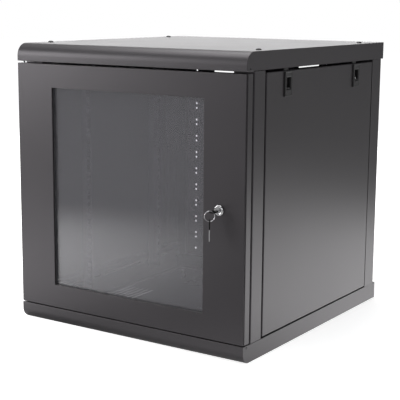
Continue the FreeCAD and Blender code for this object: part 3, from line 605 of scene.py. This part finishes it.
# ---- covers ----------------------------------------------------------------------------------
def cover_shell(name, roll, at_top, windows=(), lines_x=(), lines_y=()):
    """Folded cover: flange, front with its rolled edge, broad face and rear, between two end walls."""
    (x0, y0, z0), (x1, y1, z1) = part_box(name)
    edge, face = (z0, z1) if at_top else (z1, z0)
    way = 1 if at_top else -1
    bend = arc((y0 + roll, face - way * roll), roll, 180, 90, roll_steps)
    if not at_top:
        bend[:, 1] = 2 * (face - way * roll) - bend[:, 1]
    path = np.concatenate([[[y0 + cover_lip, edge], [y0, edge]], bend, [[y1, face], [y1, edge]]])
    path = with_lines(path, lines_y)
    points, faces = swept_shell(path, sorted({x0, x1, *lines_x}),
                                lambda a, b, c: np.stack([c, a, b], axis=-1), windows)
    thing = piece(name + "_shell", points, faces, cover_steel_painted_lighter, "cabinet", name)
    face_out(thing, Vector((0, 0, (z0 + z1) / 2)))
    rounded(thing, cover_bend, segments=3, angle=50)
    walled(thing, sheet)
    return flat_faces(thing)


def base_cut(x, y):
    """Corners of a cut-out through the bottom cover's broad face."""
    below, above = -1, 10 * MM
    return (x[0], y[0], below), (x[1], y[1], above)


cover_shell("top_cover", top_roll, True)

plate_low, plate_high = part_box("cable_entry_plate")
entry = base_cut(*(inset((plate_low[axis], plate_high[axis]), plate_lap) for axis in (0, 1)))
vent_middles = [side * (vent_start + i * vent_pitch) for side in (-1, 1) for i in range(vent_count)]
vents = [base_cut((x - vent_width / 2, x + vent_width / 2), (-vent_length / 2, vent_length / 2))
         for x in vent_middles]
base_windows = [entry, *vents]
cover_shell("bottom_cover", base_roll, False, base_windows,
            [x for low, high in base_windows for x in (low[0], high[0])],
            [y for low, high in (entry, vents[0]) for y in (low[1], high[1])])


# ---- side panels -----------------------------------------------------------------------------
def panel_tabs(outer, side, y, z):
    """Blocks of the tabs behind the lower edge, evenly spread along y."""
    back = outer - side * tab_inset
    middles = [y[0] + (y[1] - y[0]) * (i + 0.5) / tab_count for i in range(tab_count)]
    return [slab((back - side * sheet, back), (mid - tab_length / 2, mid + tab_length / 2), z)
            for mid in middles]


def side_panel(name, side):
    """Side panel: a pan with four folded edges, cut-outs for its two latches and tabs along the bottom."""
    (x0, y0, z0), (x1, y1, z1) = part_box(name)
    outer, inner = (x1, x1 - panel_fold) if side > 0 else (x0, x0 + panel_fold)
    floor_z = z0 + tab_drop
    word = "right" if side > 0 else "left"
    body = "panel_" + word
    latch_z = (z1 - latch_hole_low, z1 - latch_hole_top)
    near = outer - side * slit_inset
    slit = sorted((near, near + side * slit_width))
    windows, lines_y = [], []
    for end in ("front", "rear"):
        low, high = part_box(f"latch_slider_{end}_{word}")
        mid_y = (low[1] + high[1]) / 2
        cut_y = (mid_y - latch_hole / 2, mid_y + latch_hole / 2)
        slit_y = inset((low[1], high[1]), -slit_gap)
        cut_x = inset(sorted((inner, outer)), -MM)
        windows.append(((cut_x[0], cut_y[0], latch_z[0]), (cut_x[1], cut_y[1], latch_z[1])))
        windows.append(((slit[0], slit_y[0], z1 - MM), (slit[1], slit_y[1], z1 + MM)))
        lines_y += [*cut_y, *slit_y]
    path = np.array([[inner, floor_z], [outer, floor_z], [outer, z1], [inner, z1]])
    path = with_lines(path, slit)
    path = with_lines(path[:, ::-1], latch_z)[:, ::-1]
    points, faces = swept_shell(path, sorted({y0, y1, *lines_y}),
                                lambda a, b, c: np.stack([a, c, b], axis=-1), windows)
    pan = piece(name + "_pan", points, faces, black_steel, body, name)
    face_out(pan, Vector((inner, (y0 + y1) / 2, (z0 + z1) / 2)))
    rounded(pan, fold_r, segments=5, angle=60)
    walled(pan, panel_sheet)
    flat_faces(pan)
    tabs = joined_piece(name + "_tabs", panel_tabs(outer, side, (y0, y1), (z0, floor_z + panel_sheet)),
                        black_steel, body, name)
    return rounded(tabs, edge_r, segments=2)


side_panel("side_panel_right", 1)
side_panel("side_panel_left", -1)


# ---- door ------------------------------------------------------------------------------------
(door_x0, door_front, door_z0), (door_x1, _, door_z1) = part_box("door_plate")
(glass_x0, glass_front, glass_z0), (glass_x1, glass_back, glass_z1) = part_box("window_glass")
glass_x, glass_z = (glass_x0, glass_x1), (glass_z0, glass_z1)


def door_plate():
    """Pressed front of the door: rings from its folded rim over the flat front into the window's edge."""
    door_x, door_z = (door_x0, door_x1), (door_z0, door_z1)
    window_x, window_z = inset(glass_x, glass_overlap), inset(glass_z, glass_overlap)
    plate = rings_piece("door_plate_pressing",
                        [rectangle(door_x, door_z, door_front + sheet), rectangle(door_x, door_z, door_front),
                         rectangle(window_x, window_z, door_front),
                         rectangle(window_x, window_z, door_front + window_return)],
                        black_steel, "door", "door_plate")
    face_out(plate, middle("rear_panel"))
    rounded(plate, panel_sheet, segments=4, angle=60)
    walled(plate, panel_sheet)
    return flat_faces(plate)


def window_pane():
    """Glass sheet with ground edges: rings from the front face over both arrises to the rear, then capped."""
    small_x, small_z = inset(glass_x, glass_arris), inset(glass_z, glass_arris)
    rings = np.stack([rectangle(small_x, small_z, glass_front),
                      rectangle(glass_x, glass_z, glass_front + glass_arris),
                      rectangle(glass_x, glass_z, glass_back - glass_arris),
                      rectangle(small_x, small_z, glass_back)])
    faces = quads(4, 4, wrap=True) + end_caps(4, 4)
    pane = piece("window_pane", rings.reshape(-1, 3), faces, glass, "door", "window_glass")
    outward(pane)
    pane.data.shade_flat()
    return pane


def window_seal():
    """Rubber strip between door plate and glass: a flat profile carried round the rectangle with mitres."""
    (x0, y0, z0), (x1, y1, z1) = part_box("window_gasket")
    lip = glass_overlap + seal_proud
    profile = [(0.0, y0), (0.0, y1), (lip, y1), (lip, y0)]
    rings = [rectangle(inset((x0, x1), step), inset((z0, z1), step), y) for step, y in profile]
    seal = rings_piece("window_seal", rings, seal_rubber_painted_lighter, "door", "window_gasket",
                       closed=True)
    return rounded(outward(seal), seal_proud / 2, segments=2)


door_plate()
window_pane()
window_seal()


# ---- lock and keys ---------------------------------------------------------------------------
lock_low, lock_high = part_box("lock_body")
lock_x, lock_z = (lock_low[0] + lock_high[0]) / 2, (lock_low[2] + lock_high[2]) / 2


def thread(start, end):
    """Profile rows of a shallow thread between two heights: the radius steps in at every half pitch."""
    count = 2 * int((end - start) / thread_pitch)
    h = start + np.arange(count) * thread_pitch / 2
    r = barrel_r - thread_depth * (np.arange(count) % 2)
    return np.stack([r, h], axis=1)


def lock_barrel():
    """Turned bezel with a rolled rim and a recess for the plug; threaded barrel behind it."""
    bezel_r = (lock_high[0] - lock_low[0]) / 2
    proud = door_front - lock_low[1]
    back = door_front - lock_high[1]
    bore = plug_r + plug_gap
    rim = arc((bezel_r - bezel_roll, proud - bezel_roll), bezel_roll, 0, 80, 8)
    rows = [[bezel_r - bezel_land, 0.3 * MM], [plug_r + 1.1 * MM, 0.5 * MM], [plug_r + 0.5 * MM, 1.0 * MM],
            [bore, 1.4 * MM]]      # radius and depth below the bezel's face, going in to the plug
    recess = [[radius, proud - depth] for radius, depth in rows]
    cut = thread(back + thread_pitch, -thread_end)
    profile = np.concatenate([[[bore, back], [barrel_r, back]], cut, [[barrel_r, 0.0], [bezel_r, 0.0]],
                              rim, recess])
    seat = np.array((lock_x, door_front, lock_z))
    rings = turned(profile, seat, (0, -1, 0), (1, 0, 0))
    return outward(rings_piece("lock_barrel", rings, chrome, "door", "lock_body", closed=True))


def key_outline():
    """Outline of a key's head in the plane (across, along): round end, then two rounded shoulders."""
    corner_x, corner_y = key_shoulder - key_corner, key_neck - key_corner
    round_end = arc((0, 0), key_head_r, 185, 355, 28)
    right = arc((corner_x, corner_y), key_corner, 0, 90, 5)
    left = arc((-corner_x, corner_y), key_corner, 90, 180, 5)
    return np.concatenate([round_end, right, left])


def drilled_plate(outline, hole_r, thick, rim):
    """Plate with a round hole: rings from the outline to the hole on both faces; rim raises the edge."""
    angles = np.arctan2(outline[:, 1], outline[:, 0])
    hole = hole_r * np.stack([np.cos(angles), np.sin(angles)], axis=1)
    border = outline + (hole - outline) * key_border
    foot = border * key_border_slope
    half = thick / 2
    upper = [(hole, half), (foot, half), (border, half + rim), (outline, half + rim)]
    layers = [(flat, -h) for flat, h in reversed(upper)] + upper
    return np.stack([np.column_stack([flat, np.full(len(flat), h)]) for flat, h in layers])


def blade_rings():
    """Cut blade as rings along it, a section of 14 points at each of 61 steps.

    The lower edge at s is -w + d / 2 (1 + cos(2 pi (s - s0) / pitch)) between the first cut and the last;
    both edges close in evenly over the point, and a groove thins the section beside its middle.
    """
    along = np.linspace(key_neck, key_tip, 61)
    toothed = (along > first_cut) & (along < key_tip - cut_end)
    cuts = cut_depth / 2 * (1 + np.cos(2 * np.pi * (along - cut_phase) / cut_pitch)) * toothed
    point = np.clip((along - (key_tip - point_length)) / point_length, 0, 1)
    low = -blade_half + cuts + point * point_rise
    high = blade_half - point * point_fall
    mid = (low + high) / 2
    groove = [mid + step for step in groove_steps]
    across = np.stack([low, low + blade_thick, *groove, high - blade_back, high])
    depth = np.array([0, blade_thick, blade_thick, blade_groove, blade_groove, blade_thick, blade_thick, 0])
    depth = depth[:, None] * np.ones_like(across)
    face = np.stack([across, np.broadcast_to(along, across.shape), depth], axis=-1)
    under = face[::-1] * (1, 1, -1)
    return np.concatenate([face, under[1:-1]]).transpose(1, 0, 2)


def key(prefix, place, body):
    """Key in its own plane (across, along, thick), put in place by a matrix: moulded head and cut blade."""
    head_node, blade_node = prefix + "_head", prefix + "_blade"
    rings = moved(drilled_plate(key_outline(), key_hole_r, key_thick, key_rim), place)
    head = rings_piece(head_node + "_moulding", rings, key_plastic, body, head_node,
                       closed=True)
    rounded(outward(head), edge_r, segments=2, angle=35)
    loops = moved(blade_rings(), place)
    rows, columns = loops.shape[:2]
    faces = quads(rows, columns, wrap=True) + end_caps(rows, columns)
    blade = piece(blade_node + "_steel", loops.reshape(-1, 3), faces, plug_steel, body, blade_node)
    outward(blade)


lock_barrel()
key_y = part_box("key_head")[0][1] + key_head_r
key("key", Matrix.Translation((lock_x, key_y, lock_z)), "lock")

swing = Vector((math.cos(ring_turn), math.sin(ring_turn), 0))
ring_axis = swing.cross(Vector((0, 0, 1)))
ring_middle = middle("key_ring")
ring_low, ring_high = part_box("key_ring")
ring_r = (ring_high[2] - ring_low[2]) / 2 - ring_wire
outward(rings_piece("split_ring", torus(ring_middle, ring_axis, ring_r, ring_wire), ring_steel, "ring",
                    "key_ring", closed=True))

spare_hole = Vector((ring_middle.x, ring_middle.y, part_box("spare_key_head")[1][2] - key_head_r))
spare_place = (Matrix.Translation(spare_hole) @ Matrix.Rotation(ring_turn - math.pi / 2, 4, "Z")
               @ Matrix.Rotation(-math.pi / 2, 4, "X"))
key("spare_key", spare_place, "spare_key")


# ---- screws and rivets -----------------------------------------------------------------------
def cross_head_screws():
    """Domed cover screws: S(u, v) = place + (r sin u cos v, r sin u sin v, h cos(u)^0.8).

    The height drops by the recess's depth where a point lies in one of two crossing grooves.
    """
    low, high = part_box("cover_screws")
    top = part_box("top_cover")[1][2]
    places = [(x, y, top) for x in inset((low[0], high[0]), screw_head_r)
              for y in inset((low[1], high[1]), screw_head_r)]
    rows, columns = 18, 64
    u = np.linspace(0, 1, rows)[:, None] * np.pi / 2
    v = np.linspace(0, 2 * np.pi, columns, endpoint=False)[None]
    radius = screw_head_r * np.sin(u)
    height = screw_head_h * np.cos(u) ** 0.8 * np.ones_like(v)
    x, y = radius * np.cos(v), radius * np.sin(v)
    groove = (np.minimum(abs(x), abs(y)) < recess_half) & (np.maximum(abs(x), abs(y)) < recess_arm)
    dome = np.stack([x, y, height - recess_depth * groove], axis=-1)
    faces = quads(rows, columns, wrap=True) + end_caps(rows, columns)[1:]
    shapes = [((dome + np.array(place)).reshape(-1, 3), faces) for place in places]
    return joined_piece("cover_screw_heads", shapes, black_screws, "cabinet", "cover_screws")


def rivet_heads():
    """Blind rivets of the covers: a rounded rim and a sunk middle, turned about the end wall's normal."""
    low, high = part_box("cover_rivets")
    y = (low[1] + high[1]) / 2
    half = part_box("top_cover")[1][0]
    rim = arc((rivet_r - rivet_roll, rivet_proud - rivet_roll), rivet_roll, 0, 90, 5)
    hole = [[stub_r, rivet_proud], [stub_r - 0.1 * MM, stub_depth], [0.01 * MM, stub_depth]]
    dome, steps = np.concatenate([rim, hole]), 24
    faces = quads(len(dome), steps, wrap=True) + end_caps(len(dome), steps)
    shapes = [(turned(dome, (side * half, y, z), (side, 0, 0), steps=steps).reshape(-1, 3), faces)
              for side in (-1, 1) for z in inset((low[2], high[2]), rivet_r)]
    return joined_piece("cover_rivet_heads", shapes, black_screws, "cabinet", "cover_rivets")


cross_head_screws()
rivet_heads()


# ---- side latches ----------------------------------------------------------------------------
def latch_rings(y, z, window_y, window_z, face, side):
    """Rings of one latch housing: bezel, its rim, the dished field, the finger window and the box behind."""
    back = face - side * latch_proud
    dish = face - side * latch_dish
    box_back = back - side * latch_box
    box_y, box_z = inset(y, latch_wall), inset(z, latch_wall)
    rows = [(y, z, back), (y, z, face),
            (inset(y, latch_rim), inset(z, latch_rim), face),
            (inset(y, latch_rim + latch_slope), inset(z, latch_rim + latch_slope), dish),
            (inset(window_y, -latch_flare), inset(window_z, -latch_flare), dish),
            (window_y, window_z, face - side * latch_mouth), (window_y, window_z, box_back),
            (box_y, box_z, box_back), (box_y, box_z, back)]
    return np.stack([rectangle(row_y, row_z, x)[:, [1, 0, 2]] for row_y, row_z, x in rows])


def latch_frame(name, side):
    """Both latch housings of one side panel, each a closed loop of rings about its slider's middle."""
    low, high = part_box(name)
    face = high[0] if side > 0 else low[0]
    word = "right" if side > 0 else "left"
    z = (low[2], high[2])
    window_z = (low[2] + latch_window_low, low[2] + latch_window_low + latch_window_h)
    shapes = []
    for end in ("front", "rear"):
        mid = middle(f"latch_slider_{end}_{word}").y
        y = (mid - latch_width / 2, mid + latch_width / 2)
        window_y = (mid - latch_window_w / 2, mid + latch_window_w / 2)
        rings = latch_rings(y, z, window_y, window_z, face, side)
        rows, columns = rings.shape[:2]
        shapes.append((rings.reshape(-1, 3), quads(rows, columns, wrap=True) + joint_band(rows, columns)))
    housings = joined_piece(f"latch_frames_{word}", shapes, black_plastic, "panel_" + word, name)
    return rounded(housings, latch_round, segments=3, angle=30)


latch_frame("latch_housings_right", 1)
latch_frame("latch_housings_left", -1)


# ---- floor, light and camera -----------------------------------------------------------------
# Pools of light on the floor: middle, distances from it and the glow at each.
eye_pool = (0.55, 0.50, 0), (0.5, 1.3), (0.62, 1.0)
right_pool = (0.55, 0.50, 0), (0.35, 1.3), (2.5, 0.36)
left_pool = (-0.85, -0.70, 0), (0.1, 1.05), (2.7, 0.0)
foot_dark = 0.9               # no glow to the eye under this share of the cabinet's foot
foot_span = (0.98, 1.18)      # shares over which the glow to gloss begins in front of the foot
foot_glow = (0.3, 1.0)        # share of that glow at each end of the span
reach = 12.0                  # half the floor's side
sky_tint, sky_strength = (0.93, 0.94, 1.0, 1), 0.10


def foot_shares(tree, where):
    """Reach of a floor point across and along, as shares of the cabinet's half size: 1 on its outline."""
    (x0, y0, _), (x1, y1, _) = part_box("bottom_cover")
    split = tree.nodes.new("ShaderNodeSeparateXYZ")
    tree.links.new(where, split.inputs[0])
    shares = []
    for label, low, high in (("X", x0, x1), ("Y", y0, y1)):
        shifted = reckon(tree, "SUBTRACT", split.outputs[label], (low + high) / 2)
        shares.append(reckon(tree, "DIVIDE", reckon(tree, "ABSOLUTE", shifted, 0.0), (high - low) / 2))
    return shares


def eased(tree, value, span, values):
    """Smooth step of a value: values[0] up to span[0], values[1] from span[1]."""
    ramp = tree.nodes.new("ShaderNodeMapRange")
    ramp.interpolation_type = "SMOOTHSTEP"
    for label, number in zip(("From Min", "From Max", "To Min", "To Max"), (*span, *values)):
        ramp.inputs[label].default_value = number
    tree.links.new(value, ramp.inputs["Value"])
    return ramp.outputs["Result"]


def pool(tree, where, centre, span, values):
    """Value that goes smoothly from values[0] to values[1] as the distance from the centre goes over span."""
    away = tree.nodes.new("ShaderNodeVectorMath")
    away.operation = "DISTANCE"
    away.inputs[1].default_value = centre
    tree.links.new(where, away.inputs[0])
    return eased(tree, away.outputs["Value"], span, values)


def seen_directly(tree):
    """1 for a ray from the camera or through the glass, else 0; and the light path's node."""
    path = tree.nodes.new("ShaderNodeLightPath")
    seen = reckon(tree, "MAXIMUM", path.outputs["Is Camera Ray"], path.outputs["Is Transmission Ray"])
    return seen, path.outputs["Is Glossy Ray"]


def white_floor():
    """Plain pale floor. It glows white to the eye and to glass, less near the object, where lamps and the
    soft shadow show; to gloss it glows most near the object, as a lit table does."""
    made, tree, shader, where = material("Pale floor", roughness=0.9, specular_ior_level=0.0)
    speck = noise(tree, where, scale=40.0, detail=3.0, rough=0.6)
    two_tone(tree, shader, speck, (0.80, 0.80, 0.80), swing=0.025)
    to_eye, to_gloss = seen_directly(tree)
    across, along = foot_shares(tree, where)
    past_foot = reckon(tree, "GREATER_THAN", reckon(tree, "MAXIMUM", across, along), foot_dark)
    eye_glow = reckon(tree, "MULTIPLY", to_eye, pool(tree, where, *eye_pool))
    eye_glow = reckon(tree, "MULTIPLY", eye_glow, past_foot)
    lit = reckon(tree, "MAXIMUM", pool(tree, where, *right_pool), pool(tree, where, *left_pool))
    beside = reckon(tree, "GREATER_THAN", across, 1.0)
    open_floor = reckon(tree, "MAXIMUM", beside, eased(tree, along, foot_span, foot_glow))
    gloss_glow = reckon(tree, "MULTIPLY", to_gloss, reckon(tree, "MULTIPLY", lit, open_floor))
    glow = tree.nodes.new("ShaderNodeEmission")
    tree.links.new(reckon(tree, "MAXIMUM", eye_glow, gloss_glow), glow.inputs["Strength"])
    matt = tree.nodes.new("ShaderNodeMixShader")
    tree.links.new(to_gloss, matt.inputs["Fac"])
    tree.links.new(shader.outputs[0], matt.inputs[1])
    both = tree.nodes.new("ShaderNodeAddShader")
    tree.links.new(matt.outputs[0], both.inputs[0])
    tree.links.new(glow.outputs[0], both.inputs[1])
    tree.links.new(both.outputs[0], tree.nodes["Material Output"].inputs["Surface"])
    return made


def pale_world():
    """World that is white to the camera and through the glass, and a dim cool sky to all else."""
    world = bpy.context.scene.world or bpy.data.worlds.new("World")
    bpy.context.scene.world = world
    world.use_nodes = True
    tree = world.node_tree
    tree.nodes.clear()
    mix = tree.nodes.new("ShaderNodeMixShader")
    tree.links.new(seen_directly(tree)[0], mix.inputs["Fac"])
    for end, (colour, strength) in enumerate(((sky_tint, sky_strength), ((1, 1, 1, 1), 1.0)), start=1):
        sky = tree.nodes.new("ShaderNodeBackground")
        sky.inputs["Color"].default_value = colour
        sky.inputs["Strength"].default_value = strength
        tree.links.new(sky.outputs[0], mix.inputs[end])
    surface = tree.nodes.new("ShaderNodeOutputWorld").inputs["Surface"]
    tree.links.new(mix.outputs[0], surface)


def lamp(name, place, aim, size, power):
    """Soft rectangular lamp that points from place to aim."""
    data = bpy.data.lights.new(name, "AREA")
    data.shape = "RECTANGLE"
    data.size, data.size_y = size
    data.energy = power
    thing = bpy.data.objects.new(name, data)
    thing.location = place
    thing.rotation_euler = (Vector(aim) - Vector(place)).to_track_quat("-Z", "Y").to_euler()
    bpy.context.scene.collection.objects.link(thing)


def eye(place, yaw, pitch, roll, lens):
    """Camera at a place: yaw about Z, pitch down and roll about its own axis, in radians."""
    data = bpy.data.cameras.new("Camera")
    data.sensor_width = 36.0
    data.lens = lens
    camera = bpy.data.objects.new("Camera", data)
    ahead = Vector((math.sin(yaw) * math.cos(pitch), math.cos(yaw) * math.cos(pitch), -math.sin(pitch)))
    level = ahead.cross(Vector((0, 0, 1))).normalized()
    upright = level.cross(ahead)
    turn_x = math.cos(roll) * level + math.sin(roll) * upright
    turn_y = -math.sin(roll) * level + math.cos(roll) * upright
    turn = Matrix((turn_x, turn_y, -ahead)).transposed()
    camera.matrix_world = Matrix.Translation(place) @ turn.to_4x4()
    bpy.context.scene.collection.objects.link(camera)
    bpy.context.scene.camera = camera


floor_x, floor_y = np.meshgrid(np.linspace(-reach, reach, 3), np.linspace(-reach, reach, 3), indexing="ij")
ground = np.stack([floor_x, floor_y, np.zeros_like(floor_x)], axis=-1).reshape(-1, 3)
floor_mesh = bpy.data.meshes.new("floor")
floor_mesh.from_pydata(ground.tolist(), [], quads(3, 3))
floor_mesh.materials.append(white_floor())
floor = bpy.data.objects.new("floor", floor_mesh)
bpy.context.scene.collection.objects.link(floor)
pale_world()

lamp("Overhead softbox", (-0.2, 0.0, 2.6), (0, 0, 0), (2.4, 2.4), 70)
lamp("Front left softbox", (-2.6, -2.3, 1.23), (-0.2, -0.3, 0.35), (1.4, 1.8), 70)
lamp("Front fill softbox", (0.9, -3.2, 0.8), (0, -0.3, 0.3), (1.6, 1.2), 14)
lamp("Backdrop light", (-1.9, 2.9, 1.15), (0, 0, 0.6), (3.6, 1.5), 42)
lamp("Right horizon light", (3.4, 3.0, 0.9), (0.3, 0, 0.4), (2.4, 1.2), 9)

eye((1.389106, -2.121842, 0.736038), yaw=-0.585409, pitch=0.184305, roll=0.0075, lens=97.44)
bpy.context.scene.view_settings.view_transform = "Standard"
